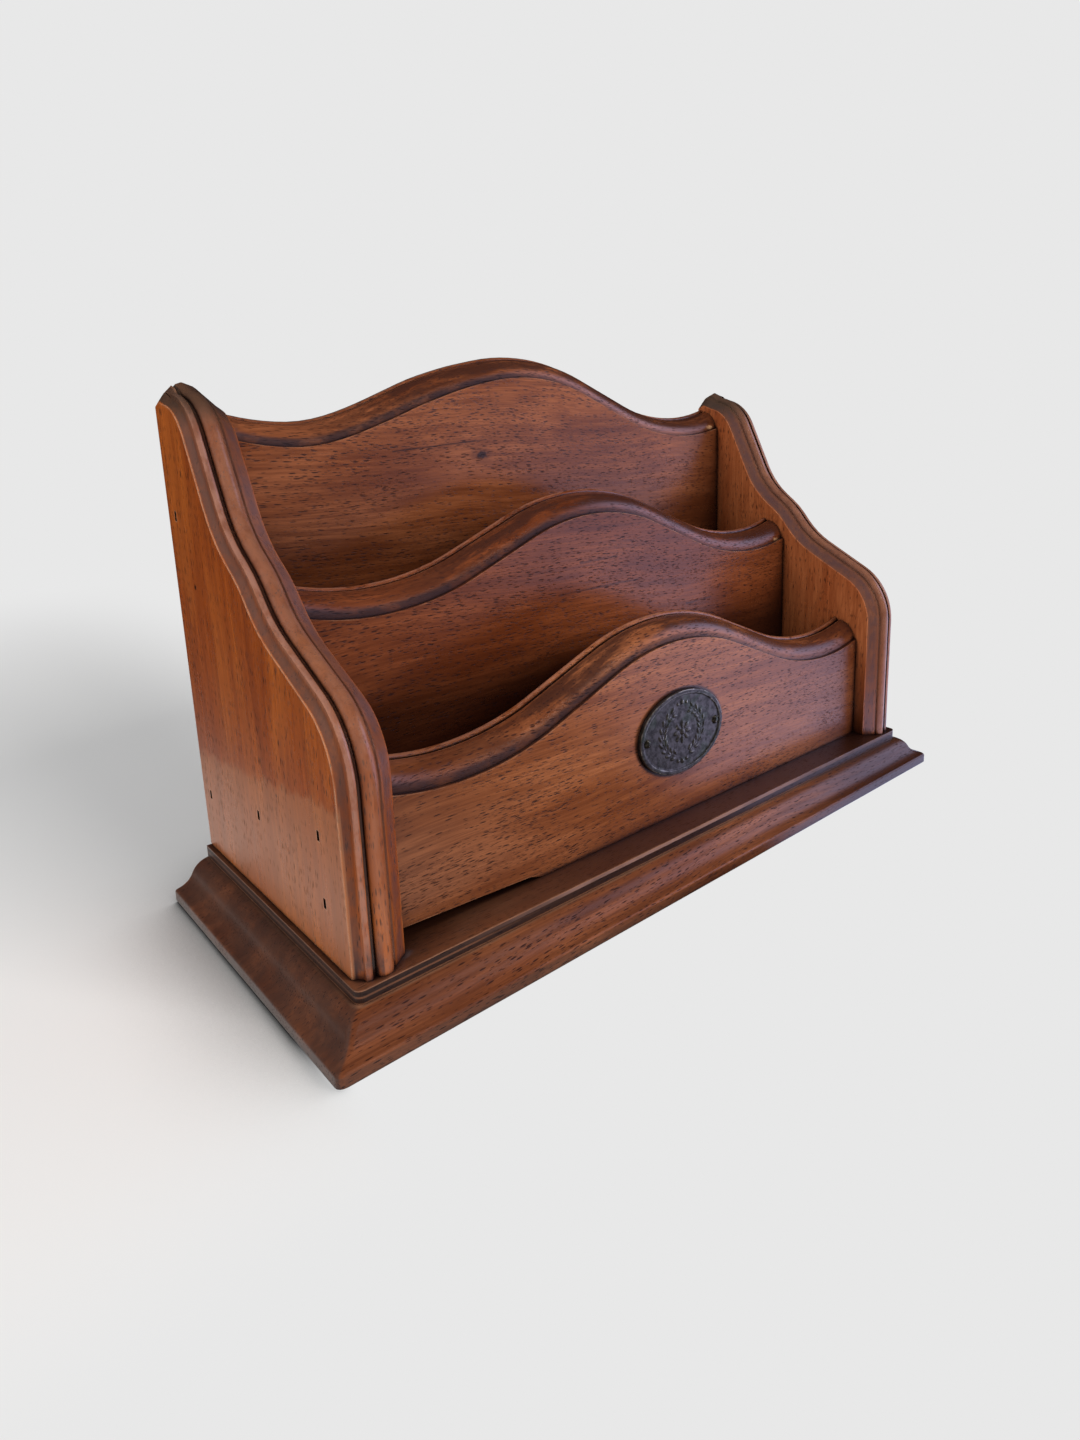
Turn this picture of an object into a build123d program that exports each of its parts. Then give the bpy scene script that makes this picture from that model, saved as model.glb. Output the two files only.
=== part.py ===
from build123d import *
import os
from math import asin, cos, degrees, radians, sin, tan

os.makedirs("parts", exist_ok=True)

# A wooden letter rack. Two side panels with an S-shaped moulded edge stand on a
# moulded base board and hold three wavy boards, with two slots for letters
# between them. An oval metal plate is pinned to the front board.
# Millimetres. +X to the right, +Y to the back, +Z up. The origin is in the
# middle of the underside. Heights named "..._height" stand above the platform,
# which is the flat top of the base board.

# Base board
base_thickness = 15.5
platform_depth = 105.4
platform_overhang = 1.4
base_moulding_out = 10.3
base_riser = 3.9
base_ledge = 0.4
base_nose_round = 1.0
base_foot_round = 0.6
ogee_shallow_angle = 10
ogee_steep_angle = 67

# Side panels
rack_width = 239.5
panel_thickness = 14.5
panel_depth = 100
ear_height = 138.3
ear_flat = 6.4
ear_radius = 16.5
ear_slope_angle = 62
ear_slope = 21.5
neck_radius = 37
neck_angle = 33
neck_slope = 4.5
belly_radius = 30
belly_angle = 48
belly_slope = 3.5
hollow_radius = 39
hollow_angle = 25
shoulder_radius = 20.5

# Moulding worked on the edge of a side panel, from its outer face inwards
cove_width = 2.2
cove_rise = 3.1
ridge_width = 1.8
ridge_crown = 0.3
quirk_width = 0.9
quirk_level = 1.7
bead_radius = 2.4
bead_root_level = 1.9
inner_quirk_width = 0.6
inner_strip_level = 2.3
inner_arris_drop = 1.0

# Wavy boards
board_thickness = 12.5
slot_width = 28.2
back_crest_height = 156.4
middle_crest_height = 109
front_crest_height = 69.7
wave_radius = 75
wave_angle = 24
trough_from_panel = 21.2
wave_end_radius = 66
housing_depth = 3
housing_clearance = 0.1
housing_below_moulding = 3

# Moulding worked on the top edge of a board
top_moulding_height = 7.6
top_ridge_width = 2.2
top_ridge_shoulder = 1.1
top_groove_width = 1.1
top_groove_depth = 2.0
top_band_top = 0.9
top_band_nose = 1.2
top_band_bulge = 1.7
front_ledge = 1.4

# The lower edge of the front board was cut a little askew at its left end
foot_gap = 4.0
foot_gap_length = 72

# Oval plate and its pins
plate_width = 39
plate_height = 29.3
plate_thickness = 1.0
plate_rim_width = 1.5
plate_rim_rise = 0.5
plate_centre_height = 30.2
plate_pin_from_edge = 3.4
pin_head_diameter = 3.0
pin_head_rise = 0.9
pin_shank_diameter = 1.4
pin_length = 7
pin_clearance = 0.05

# Brads through the panels into the ends of the boards
brad_thickness = 1.1
brad_width = 2.1
brad_head_thickness = 1.3
brad_head_width = 2.7
brad_head_length = 1.0
brad_length = 30
brad_sink = 0.4
brad_clearance = 0.05
back_brad_heights = (106.5, 19.1)
middle_brad_heights = (26.0,)
front_brad_heights = (34.4, 15.8)

# Wood screws up through the base board
screw_diameter = 3.6
screw_head_diameter = 7.2
screw_rim = 0.5
screw_length = 36
screw_tip = 4
screw_slot_width = 1.0
screw_slot_depth = 0.9
screw_sink = 0.4
screw_clearance = 0.05
panel_screw_from_ends = 20
back_screw_from_middle = 50

# Places that follow from the sizes above
overall_depth = platform_depth + base_moulding_out
back_y = overall_depth / 2
half_rack = rack_width / 2
inner_face = half_rack - panel_thickness
half_platform = half_rack + platform_overhang
platform_z = base_thickness
board_pitch = board_thickness + slot_width
bead_tip = bead_root_level + bead_radius
cut_margin = 1


def turn(radius, angle_from, angle_to):
    """Run and drop of an arc whose slope goes from one angle to another."""
    run = radius * abs(sin(radians(angle_to)) - sin(radians(angle_from)))
    drop = radius * abs(cos(radians(angle_from)) - cos(radians(angle_to)))
    return run, drop


def heading(angle):
    """Direction that goes forward and down by an angle."""
    return Vector(cos(radians(angle)), -sin(radians(angle)))


def straight(start, angle, length):
    return Line(start, start + heading(angle) * length)


def longer(edges):
    """The same chain of edges with its first and last ones a little longer."""
    first = Line(edges[0] @ 0 - (edges[0] % 0) * cut_margin, edges[0] @ 0)
    last = Line(edges[-1] @ 1, edges[-1] @ 1 + (edges[-1] % 1) * cut_margin)
    return [first] + edges + [last]


def bend(start, angle_from, angle_to, radius, out=0.0):
    """Arc from one slope to another: a steeper end makes a convex arc.

    An outline that lies outside the drawn one has its arcs moved by out."""
    moved = radius + out if angle_to > angle_from else radius - out
    return JernArc(start, heading(angle_from), moved, angle_from - angle_to)


# Base board: the front section and the end section cross, which mitres the
# moulding at the two front corners. The back is cut square.
def base_edge():
    """Edge of the board from the platform out and down to the underside."""
    nose_run = base_nose_round * (1 - sin(radians(ogee_shallow_angle)))
    ogee_run = base_moulding_out - base_ledge - nose_run
    ogee_radius = ogee_run / (2 * turn(1, ogee_shallow_angle, ogee_steep_angle)[0])
    riser = Line((0, base_thickness), (0, base_thickness - base_riser))
    ledge = Line(riser @ 1, riser @ 1 + Vector(base_ledge, 0))
    top = bend(ledge @ 1, ogee_shallow_angle, ogee_steep_angle, ogee_radius)
    hollow = bend(top @ 1, ogee_steep_angle, ogee_shallow_angle, ogee_radius)
    nose = bend(hollow @ 1, ogee_shallow_angle, 90, base_nose_round)
    foot_top = Vector(base_moulding_out, base_foot_round)
    face = Line(nose @ 1, foot_top)
    foot = Line(foot_top, (base_moulding_out - base_foot_round, 0))
    return [riser, ledge, top, hollow, nose, face, foot]


def base_section(inner):
    """Section of the board whose plain side lies at the distance inner."""
    edge = base_edge()
    under = Line(edge[-1] @ 1, (-inner, 0))
    side = Line((-inner, 0), (-inner, base_thickness))
    top = Line((-inner, base_thickness), (0, base_thickness))
    return make_face(edge + [under, side, top])


def make_base_board():
    section_ends = Plane(origin=(half_platform, back_y, 0), x_dir=(1, 0, 0), z_dir=(0, -1, 0))
    half = extrude(section_ends * base_section(half_platform), overall_depth)
    ends = half + mirror(half, Plane.YZ)
    front_origin = (half_platform + base_moulding_out, back_y - platform_depth, 0)
    section_front = Plane(origin=front_origin, x_dir=(0, -1, 0), z_dir=(-1, 0, 0))
    width = 2 * (half_platform + base_moulding_out)
    front = extrude(section_front * base_section(platform_depth), width)
    return ends & front


# Side panels
def panel_edge(out=0.0):
    """Line of the panel's arris from the back, over the ear and down the front.

    The first number runs forward from the back face, the second one up. The
    line can also be drawn outside the arris, at the distance out."""
    ear_top = straight(Vector(0, ear_height + out), 0, ear_flat)
    ear = bend(ear_top @ 1, 0, ear_slope_angle, ear_radius, out)
    slope = straight(ear @ 1, ear_slope_angle, ear_slope)
    neck = bend(slope @ 1, ear_slope_angle, neck_angle, neck_radius, out)
    waist = straight(neck @ 1, neck_angle, neck_slope)
    belly = bend(waist @ 1, neck_angle, belly_angle, belly_radius, out)
    fall = straight(belly @ 1, belly_angle, belly_slope)
    hollow = bend(fall @ 1, belly_angle, hollow_angle, hollow_radius, out)
    shoulder_run = turn(shoulder_radius + out, hollow_angle, 90)[0]
    flat_run = panel_depth + out - shoulder_run - (hollow @ 1).X
    flat = straight(hollow @ 1, hollow_angle, flat_run / cos(radians(hollow_angle)))
    shoulder = bend(flat @ 1, hollow_angle, 90, shoulder_radius, out)
    front = Line(shoulder @ 1, (panel_depth + out, 0))
    return [ear_top, ear, slope, neck, waist, belly, fall, hollow, flat, shoulder, front]


def panel_edge_waste():
    """Section of what is planed away to leave the panel's edge moulding.

    From the outer face it leaves a cove, a ridge, a quirk, a half-round bead,
    a thinner quirk and a strip that falls to the inner face."""
    outer = panel_thickness / 2
    side = outer + cut_margin
    top = bead_tip + 2 * cut_margin
    ridge_start = outer - cove_width
    ridge_end = ridge_start - ridge_width
    bead_outer = ridge_end - quirk_width
    bead_inner = bead_outer - 2 * bead_radius
    strip_start = bead_inner - inner_quirk_width
    cove_depth = cove_rise * (1 - cos(radians(45)))
    cove_middle = (outer - cove_width * sin(radians(45)), cove_depth)
    cove = ThreePointArc((outer, 0), cove_middle, (ridge_start, cove_rise))
    ridge_middle = (ridge_start - ridge_width / 2, cove_rise + ridge_crown)
    ridge = ThreePointArc((ridge_start, cove_rise), ridge_middle, (ridge_end, cove_rise))
    quirk = Polyline(
        (ridge_end, cove_rise),
        (ridge_end, quirk_level),
        (bead_outer, quirk_level),
        (bead_outer, bead_root_level),
    )
    bead_top = (bead_outer - bead_radius, bead_tip)
    bead = ThreePointArc((bead_outer, bead_root_level), bead_top, (bead_inner, bead_root_level))
    around = Polyline(
        (bead_inner, bead_root_level),
        (bead_inner, quirk_level),
        (strip_start, quirk_level),
        (strip_start, inner_strip_level),
        (-outer, -inner_arris_drop),
        (-side, -inner_arris_drop),
        (-side, top),
        (side, top),
        (side, 0),
        (outer, 0),
    )
    return make_face([cove, ridge, quirk, bead, around])


def panel_plane(x):
    """Plane across the rack at x: its own X runs forward from the back."""
    return Plane(origin=(x, back_y, platform_z), x_dir=(0, -1, 0), z_dir=(-1, 0, 0))


def make_side_panel():
    """Right side panel. Its outer face is at half the rack's width."""
    blank_out = bead_tip + cut_margin
    edge = panel_edge(blank_out)
    back = Line((0, 0), (0, ear_height + blank_out))
    under = Line((panel_depth + blank_out, 0), (0, 0))
    blank = extrude(panel_plane(inner_face) * make_face(edge + [under, back]), -panel_thickness)
    path = panel_plane(inner_face + panel_thickness / 2) * Wire(longer(panel_edge()))
    start = Plane(origin=path @ 0, x_dir=(1, 0, 0), z_dir=(0, -1, 0))
    panel = blank - sweep(start * panel_edge_waste(), path)
    for front_y, crest in board_places():
        panel -= housing(front_y, crest)
    return panel


# Wavy boards
def wave(offset, reach):
    """Edges of the wave from left to right, its crest at the origin.

    The line is moved in by offset, square to itself, and ends at +-reach."""
    trough = inner_face - trough_from_panel
    run, drop = turn(wave_radius, 0, wave_angle)
    slope_run = trough - 2 * run
    trough_level = -2 * drop - slope_run * tan(radians(wave_angle))
    end_angle = degrees(asin((reach - trough) / (wave_end_radius + offset)))

    def arc(x, y, radius, angles):
        """Arc round (x, y) between two angles, measured from straight up."""
        both = [angles[0], sum(angles) / 2, angles[1]]
        points = [(x + radius * sin(radians(a)), y + radius * cos(radians(a))) for a in both]
        return ThreePointArc(*points)

    low_y = trough_level + wave_radius
    low_radius = wave_radius + offset
    end_y = trough_level + wave_end_radius
    end_radius = wave_end_radius + offset
    steep = 180 + wave_angle
    left_end = arc(-trough, end_y, end_radius, (end_angle - 180, -180))
    left_low = arc(-trough, low_y, low_radius, (-180, -steep))
    crest = arc(0, -wave_radius, wave_radius - offset, (-wave_angle, wave_angle))
    right_low = arc(trough, low_y, low_radius, (steep, 180))
    right_end = arc(trough, end_y, end_radius, (180, 180 - end_angle))
    left_slope = Line(left_low @ 1, crest @ 0)
    right_slope = Line(crest @ 1, right_low @ 0)
    return [left_end, left_low, left_slope, crest, right_slope, right_low, right_end]


def wave_end_level(offset):
    """Height of the moved wave line where it meets the panel, from the crest."""
    return (wave(offset, inner_face)[-1] @ 1).Y


def board_places():
    """Distance of each board's front face behind the rack's back, and its crest."""
    crests = (back_crest_height, middle_crest_height, front_crest_height)
    return [(board_thickness + i * board_pitch, crest) for i, crest in enumerate(crests)]


def tongue_height(crest):
    return crest + wave_end_level(top_moulding_height) - housing_below_moulding


def housing(front_y, crest, clearance=housing_clearance):
    """Groove in the right panel for the end of a board."""
    depth = housing_depth + clearance
    width = board_thickness + 2 * clearance
    height = tongue_height(crest) + clearance
    centre_y = back_y - front_y + board_thickness / 2
    return Pos(inner_face + depth / 2, centre_y, platform_z + height / 2) * Box(depth, width, height)


def board_top_waste():
    """Section of what is planed away to leave a board's top moulding.

    It leaves a ridge at the back, a groove and a broad rounded band. The first
    number runs forward from the board's back, the second one up."""
    band_start = top_ridge_width + top_groove_width
    band_end = board_thickness - front_ledge
    band_foot = -top_moulding_height + top_band_nose
    ridge = ThreePointArc(
        (0, -top_ridge_shoulder),
        (top_ridge_width / 2, 0),
        (top_ridge_width, -top_ridge_shoulder),
    )
    groove = Polyline(
        (top_ridge_width, -top_ridge_shoulder),
        (top_ridge_width, -top_groove_depth),
        (band_start, -top_groove_depth),
        (band_start, -top_band_top),
    )
    chord_middle = Vector((band_start + band_end) / 2, (band_foot - top_band_top) / 2)
    chord = Vector(band_end - band_start, band_foot + top_band_top)
    outward = Vector(-chord.Y, chord.X).normalized()
    band = ThreePointArc(
        (band_start, -top_band_top),
        chord_middle + outward * top_band_bulge,
        (band_end, band_foot),
    )
    around = Polyline(
        (band_end, band_foot),
        (band_end, -top_moulding_height),
        (board_thickness + cut_margin, -top_moulding_height),
        (board_thickness + cut_margin, 2 * cut_margin),
        (-cut_margin, 2 * cut_margin),
        (-cut_margin, -top_ridge_shoulder),
        (0, -top_ridge_shoulder),
    )
    return make_face([ridge, groove, band, around])


def wave_plane(y, crest):
    """Upright plane that faces the front, with its origin at a board's crest."""
    return Plane(origin=(0, y, platform_z + crest), x_dir=(1, 0, 0), z_dir=(0, -1, 0))


def make_board(front_y, crest):
    """Board of one thickness with its moulded wavy top and a tongue at each end."""
    top_line = wave(-cut_margin, inner_face)
    ends = (top_line[-1] @ 1).Y
    sides = Polyline((inner_face, ends), (inner_face, -crest), (-inner_face, -crest), (-inner_face, ends))
    face = wave_plane(back_y - front_y, crest)
    board = extrude(face * make_face(top_line + [sides]), -board_thickness)
    back = wave_plane(back_y - front_y + board_thickness, crest)
    path = back * Wire(wave(0, inner_face + panel_thickness / 2))
    start = Plane(origin=path @ 0, x_dir=(0, -1, 0), z_dir=-(path % 0))
    board -= sweep(start * board_top_waste(), path)
    tongue = housing(front_y, crest, 0)
    return board + tongue + mirror(tongue, Plane.YZ)


def foot_wedge():
    """Sliver that is missing under the left end of the front board."""
    left = -inner_face - housing_depth
    corners = [(left, 0), (left + foot_gap_length, 0), (left, foot_gap)]
    plane = Plane(origin=(0, back_y, platform_z), x_dir=(1, 0, 0), z_dir=(0, -1, 0))
    return extrude(plane * make_face(Polyline(*corners, close=True)), overall_depth)


# Oval plate, held by two round-headed pins
front_board_face = back_y - board_places()[2][0]
plate_pin_x = plate_width / 2 - plate_pin_from_edge
plate_plane = Plane(
    origin=(0, front_board_face, platform_z + plate_centre_height),
    x_dir=(1, 0, 0),
    z_dir=(0, -1, 0),
)


def make_plate():
    oval = Ellipse(plate_width / 2, plate_height / 2)
    field = Ellipse(plate_width / 2 - plate_rim_width, plate_height / 2 - plate_rim_width)
    plate = extrude(plate_plane * oval, plate_thickness)
    rim_plane = plate_plane.offset(plate_thickness)
    plate += extrude(rim_plane * (oval - field), plate_rim_rise)
    return plate


def make_pin(side, clearance=0.0):
    """Pin with a domed head on the plate and its shank in the front board."""
    head_radius = pin_head_diameter / 2
    shank_radius = pin_shank_diameter / 2 + clearance
    dome = ThreePointArc(
        (0, pin_head_rise),
        (head_radius * sin(radians(45)), pin_head_rise * cos(radians(45))),
        (head_radius, 0),
    )
    rest = Polyline(
        (head_radius, 0),
        (shank_radius, 0),
        (shank_radius, -pin_length - clearance),
        (0, -pin_length - clearance),
        (0, pin_head_rise),
    )
    profile = make_face([dome, rest])
    pin = revolve(Plane.XZ * profile, Axis.Z)
    place = plate_plane.offset(plate_thickness)
    return place * Pos(side * plate_pin_x, 0, 0) * pin


# Brads: cut from sheet, so their heads are narrow rectangles
def make_brads(front_y, heights, clearance=0.0):
    """Brads through the right panel into the end of one board."""
    centre_y = back_y - front_y + board_thickness / 2
    shank_length = brad_length - brad_head_length
    head_start = half_rack - brad_sink
    brads = []
    room = 2 * clearance
    head_x = head_start - brad_head_length / 2
    head_size = (brad_head_length, brad_head_thickness + room, brad_head_width + room)
    shank_x = head_start - brad_head_length - (shank_length + clearance) / 2
    shank_size = (shank_length + clearance, brad_thickness + room, brad_width + room)
    for height in heights:
        z = platform_z + height
        head = Pos(head_x, centre_y, z) * Box(*head_size)
        brads.append(head + Pos(shank_x, centre_y, z) * Box(*shank_size))
    return brads


def brad_pockets(front_y, heights):
    """Holes for the brads, open at the panel's outer face."""
    holes = make_brads(front_y, heights, brad_clearance)
    centre_y = back_y - front_y + board_thickness / 2
    room = 2 * brad_clearance
    size = (2 * brad_sink, brad_head_thickness + room, brad_head_width + room)
    for height in heights:
        holes.append(Pos(half_rack, centre_y, platform_z + height) * Box(*size))
    return holes


# Wood screws with slotted countersunk heads
def make_screw(x, y, clearance=0.0):
    """Screw that points up, with a thin rim and a 45-degree cone under it."""
    head = screw_head_diameter / 2 + clearance
    core = screw_diameter / 2 + clearance
    length = screw_length + clearance
    outline = [
        (0, 0),
        (head, 0),
        (head, screw_rim),
        (core, screw_rim + head - core),
        (core, length - screw_tip),
        (0, length),
    ]
    screw = revolve(Plane.XZ * make_face(Polyline(*outline, close=True)), Axis.Z)
    return Pos(x, y, screw_sink) * screw


def screw_slot(x, y):
    size = (2 * screw_head_diameter, screw_slot_width, 2 * screw_slot_depth)
    return Pos(x, y, screw_sink) * Box(*size)


def screw_holes(places):
    """Holes for screws, each with its countersink open below."""
    holes = []
    for x, y in places:
        holes.append(make_screw(x, y, screw_clearance))
        holes.append(Pos(x, y, 0) * Cylinder(screw_head_diameter / 2 + screw_clearance, 2 * screw_sink))
    return holes


panel_middle = half_rack - panel_thickness / 2
panel_screws = [
    (panel_middle, back_y - panel_screw_from_ends),
    (panel_middle, back_y - panel_depth + panel_screw_from_ends),
]
back_board_middle = back_y - board_thickness / 2
back_screws = [(-back_screw_from_middle, back_board_middle), (back_screw_from_middle, back_board_middle)]
left_screws = [(-x, y) for x, y in panel_screws]

brad_heights = (back_brad_heights, middle_brad_heights, front_brad_heights)
places = board_places()

nodes = {}
base_board = make_base_board()
for hole in screw_holes(panel_screws + left_screws + back_screws):
    base_board -= hole
nodes["base_board"] = base_board

panel = make_side_panel()
for hole in screw_holes(panel_screws):
    panel -= hole
for (front_y, crest), heights in zip(places, brad_heights):
    for hole in brad_pockets(front_y, heights):
        panel -= hole
nodes["side_panel_right"] = panel
nodes["side_panel_left"] = mirror(panel, Plane.YZ)

board_names = ("back_board", "middle_board", "front_board")
for name, (front_y, crest), heights in zip(board_names, places, brad_heights):
    board = make_board(front_y, crest)
    if name == "front_board":
        board -= foot_wedge()
        for side in (-1, 1):
            board -= make_pin(side, pin_clearance)
    if name == "back_board":
        for hole in screw_holes(back_screws):
            board -= hole
    for hole in make_brads(front_y, heights, brad_clearance):
        board -= hole
        board -= mirror(hole, Plane.YZ)
    nodes[name] = board
    brads = make_brads(front_y, heights)
    plural = "brads" if len(heights) > 1 else "brad"
    nodes[f"{name}_{plural}_right"] = Compound(brads)
    nodes[f"{name}_{plural}_left"] = Compound([mirror(brad, Plane.YZ) for brad in brads])

plate = make_plate()
for side, word in ((-1, "left"), (1, "right")):
    plate -= make_pin(side, pin_clearance)
    nodes[f"plate_pin_{word}"] = make_pin(side)
nodes["oval_plate"] = plate

screw_groups = {"left": left_screws, "right": panel_screws, "back": back_screws}
for word, group in screw_groups.items():
    screws = [make_screw(x, y) - screw_slot(x, y) for x, y in group]
    nodes[f"base_screws_{word}"] = Compound(screws)

for name, shape in nodes.items():
    export_step(shape, f"parts/{name}.step")
    print(name, len(shape.solids()), round(shape.volume))
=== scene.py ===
import bpy
import bmesh
from math import asin, atan, cos, radians, sin, tan
from mathutils import Matrix, Vector


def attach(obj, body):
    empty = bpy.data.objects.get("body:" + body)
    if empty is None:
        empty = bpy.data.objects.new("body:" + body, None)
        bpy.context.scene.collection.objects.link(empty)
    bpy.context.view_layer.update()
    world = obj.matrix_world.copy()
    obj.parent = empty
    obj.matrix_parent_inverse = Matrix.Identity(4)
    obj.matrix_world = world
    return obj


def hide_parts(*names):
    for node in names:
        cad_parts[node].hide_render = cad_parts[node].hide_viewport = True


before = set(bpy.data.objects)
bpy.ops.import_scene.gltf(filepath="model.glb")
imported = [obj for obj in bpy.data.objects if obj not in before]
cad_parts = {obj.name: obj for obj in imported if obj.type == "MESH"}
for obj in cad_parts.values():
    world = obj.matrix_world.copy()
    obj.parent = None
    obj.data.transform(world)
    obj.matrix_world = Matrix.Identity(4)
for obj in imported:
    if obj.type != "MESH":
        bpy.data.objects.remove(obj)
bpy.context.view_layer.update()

# Camera
# The photograph was taken close up with a wide lens, from above the left front
# corner. Places are in metres, angles in degrees.
camera_place = Vector((-0.19775, -0.23678, 0.15455))
camera_turn = -47.271
camera_tilt = -12.305
camera_roll = 0.329
photo_width = 1080
photo_height = 1440
lens_in_photo_heights = 0.60524
axis_in_photo = (720, 595.24)

turn, tilt, roll = radians(camera_turn), radians(camera_tilt), radians(camera_roll)
forward = Vector((-sin(turn) * cos(tilt), cos(turn) * cos(tilt), sin(tilt)))
level_right = forward.cross(Vector((0, 0, 1))).normalized()
level_up = level_right.cross(forward)
right = cos(roll) * level_right + sin(roll) * level_up
up = cos(roll) * level_up - sin(roll) * level_right
facing = Matrix((right, up, -forward)).transposed()
bpy.ops.object.camera_add(location=camera_place, rotation=facing.to_euler())
camera = bpy.context.object
camera.name = "photo_camera"
camera.data.sensor_fit = "VERTICAL"
camera.data.sensor_height = 36
camera.data.sensor_width = 27
camera.data.lens = lens_in_photo_heights * camera.data.sensor_height
camera.data.shift_x = (photo_width / 2 - axis_in_photo[0]) / photo_height
camera.data.shift_y = (axis_in_photo[1] - photo_height / 2) / photo_height
camera.data.clip_start = 0.005
bpy.context.scene.camera = camera
bpy.context.scene.view_settings.view_transform = "Standard"

# Floor and light
# A pale floor without an edge, in a room with its window at the front right. One
# soft lamp at the front casts the shadow behind; one at the left lights that end.
mm = 0.001
backdrop_grey = 0.807
floor_size = 12
window_direction = (0.866, -0.5, 0)
high_window_direction = (0.81, -0.47, 0.35)
window_tint = (0.58, 0.63, 1, 1)
room_tint = (0.93, 0.96, 1, 1)
side_tint = (1, 0.97, 0.94, 1)
front_lamp_place = (0.28, -1.25, 0.85)
left_lamp_place = (-1.3, 0.1, 0.75)


def node(material, kind, inputs=None, **options):
    """Add a shader node, set its options, and fill or link its inputs."""
    made = material.node_tree.nodes.new("ShaderNode" + kind)
    for name, value in options.items():
        setattr(made, name, value)
    for socket, value in (inputs or {}).items():
        if isinstance(value, bpy.types.NodeSocket):
            material.node_tree.links.new(value, made.inputs[socket])
        else:
            made.inputs[socket].default_value = value
    return made


def number(material, operation, *values):
    """Output of a Math node with these numbers or sockets."""
    return node(material, "Math", dict(enumerate(values)), operation=operation).outputs[0]


def times(material, value, *others):
    """Product of numbers or sockets."""
    for other in others:
        value = number(material, "MULTIPLY", value, other)
    return value


def vector(material, operation, *values):
    """Output of a Vector Math node with these vectors or sockets."""
    made = node(material, "VectorMath", dict(enumerate(values)), operation=operation)
    return made.outputs["Value" if operation in ("LENGTH", "DISTANCE", "DOT_PRODUCT") else 0]


def ramp(material, value, low, high, to_low=0.0, to_high=1.0):
    """Smooth change from one number to another while value goes from low to high."""
    inputs = {"Value": value, "From Min": low, "From Max": high}
    inputs.update({"To Min": to_low, "To Max": to_high})
    return node(material, "MapRange", inputs, interpolation_type="SMOOTHSTEP").outputs[0]


def emptied(material):
    """A new material or world, with no node in it yet."""
    material.use_nodes = True
    material.node_tree.nodes.clear()
    return material


def parts(material, place):
    """The three numbers of a vector."""
    return node(material, "SeparateXYZ", {0: place}).outputs


def mix(material, share, first, second):
    """One look turning into another as share goes from 0 to 1."""
    return node(material, "MixShader", {0: share, 1: first, 2: second}).outputs[0]


def openness(material, distance, samples=8):
    """1 where nothing stands within a distance of the surface, and 0 deep in a hollow."""
    return node(material, "AmbientOcclusion", {"Distance": distance}, samples=samples).outputs["AO"]


def show_floor(material, output, to_light, to_gloss, to_camera):
    """Send one look to the camera, one to gloss and glass, and one to other rays."""
    rays = node(material, "LightPath").outputs
    gloss = number(material, "MAXIMUM", rays["Is Glossy Ray"], rays["Is Transmission Ray"])
    indoors = mix(material, gloss, to_light, to_gloss)
    look = mix(material, rays["Is Camera Ray"], indoors, to_camera)
    node(material, output, {"Surface": look})


bpy.ops.mesh.primitive_plane_add(size=floor_size, location=(0, 0, 0))
floor = bpy.context.object
floor.name = "pale_floor"

pale = emptied(bpy.data.materials.new("pale_floor"))
place = node(pale, "TexCoord").outputs["Object"]
across = parts(pale, place)
distance = vector(pale, "LENGTH", place)
beside = ramp(pale, across[0], 0.02, -0.1)
not_far = ramp(pale, distance, 0.68, 0.3)
behind = ramp(pale, across[1], -0.1, -0.04)
lit_share = times(pale, beside, not_far, behind)
right_of_end = ramp(pale, across[0], -0.137, -0.127)
in_front = times(pale, right_of_end, ramp(pale, across[1], -0.03, -0.055))
lit_share = times(pale, lit_share, number(pale, "SUBTRACT", 1, in_front))
# Near the object the floor's colour darkens by how enclosed it is: a painted contact shadow on top
# of the lamps' own.
painted_contact_shadow = openness(pale, 0.05, 16)
grey = ramp(pale, painted_contact_shadow, 0.35, 1.0, 0.02, 0.88)
matt = node(pale, "BsdfDiffuse", {"Color": grey}).outputs[0]
glow = node(pale, "Emission", {"Strength": backdrop_grey}).outputs[0]
for_camera = mix(pale, lit_share, glow, matt)
# To gloss rays alone the floor glows, bluish towards the front right and pale beside the left end:
# painted reflections of a window and of a pale surface.
bearing = vector(pale, "NORMALIZE", place)
facing_window = vector(pale, "DOT_PRODUCT", bearing, window_direction)
window_side = ramp(pale, facing_window, 0.74, 0.97, 0.01, 1.8)
beside_base = times(pale, ramp(pale, across[0], -0.166, -0.146), ramp(pale, across[0], 0, -0.1))
for_window = node(pale, "Emission", {"Color": window_tint, "Strength": window_side}).outputs[0]
for_side = node(pale, "Emission", {"Color": side_tint, "Strength": 0.5}).outputs[0]
for_gloss = mix(pale, beside_base, for_window, for_side)
plain = node(pale, "BsdfDiffuse", {"Color": (0.5, 0.5, 0.5, 1)}).outputs[0]
show_floor(pale, "OutputMaterial", plain, for_gloss, for_camera)
floor.data.materials.append(pale)

world = emptied(bpy.data.worlds.new("pale_room"))
bpy.context.scene.world = world
bearing = node(world, "TexCoord").outputs["Generated"]
facing_window = vector(world, "DOT_PRODUCT", bearing, high_window_direction)
strength = ramp(world, facing_window, 0.9, 0.985, 0.015, 2.8)
backdrop = {"Color": (1, 1, 1, 1), "Strength": backdrop_grey}
for_camera = node(world, "Background", backdrop).outputs[0]
for_gloss = node(world, "Background", {"Color": window_tint, "Strength": strength}).outputs[0]
fill = node(world, "Background", {"Color": room_tint, "Strength": 0.3}).outputs[0]
show_floor(world, "OutputWorld", fill, for_gloss, for_camera)


def soft_light(name, place, target, size, power, colour):
    """Square lamp that shines from place to target."""
    aim = (Vector(target) - Vector(place)).to_track_quat("-Z", "Y").to_euler()
    bpy.ops.object.light_add(type="AREA", location=place, rotation=aim)
    lamp = bpy.context.object
    lamp.name = name
    lamp.data.size = size
    lamp.data.energy = power
    lamp.data.color = colour
    lamp.visible_glossy = False


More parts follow.
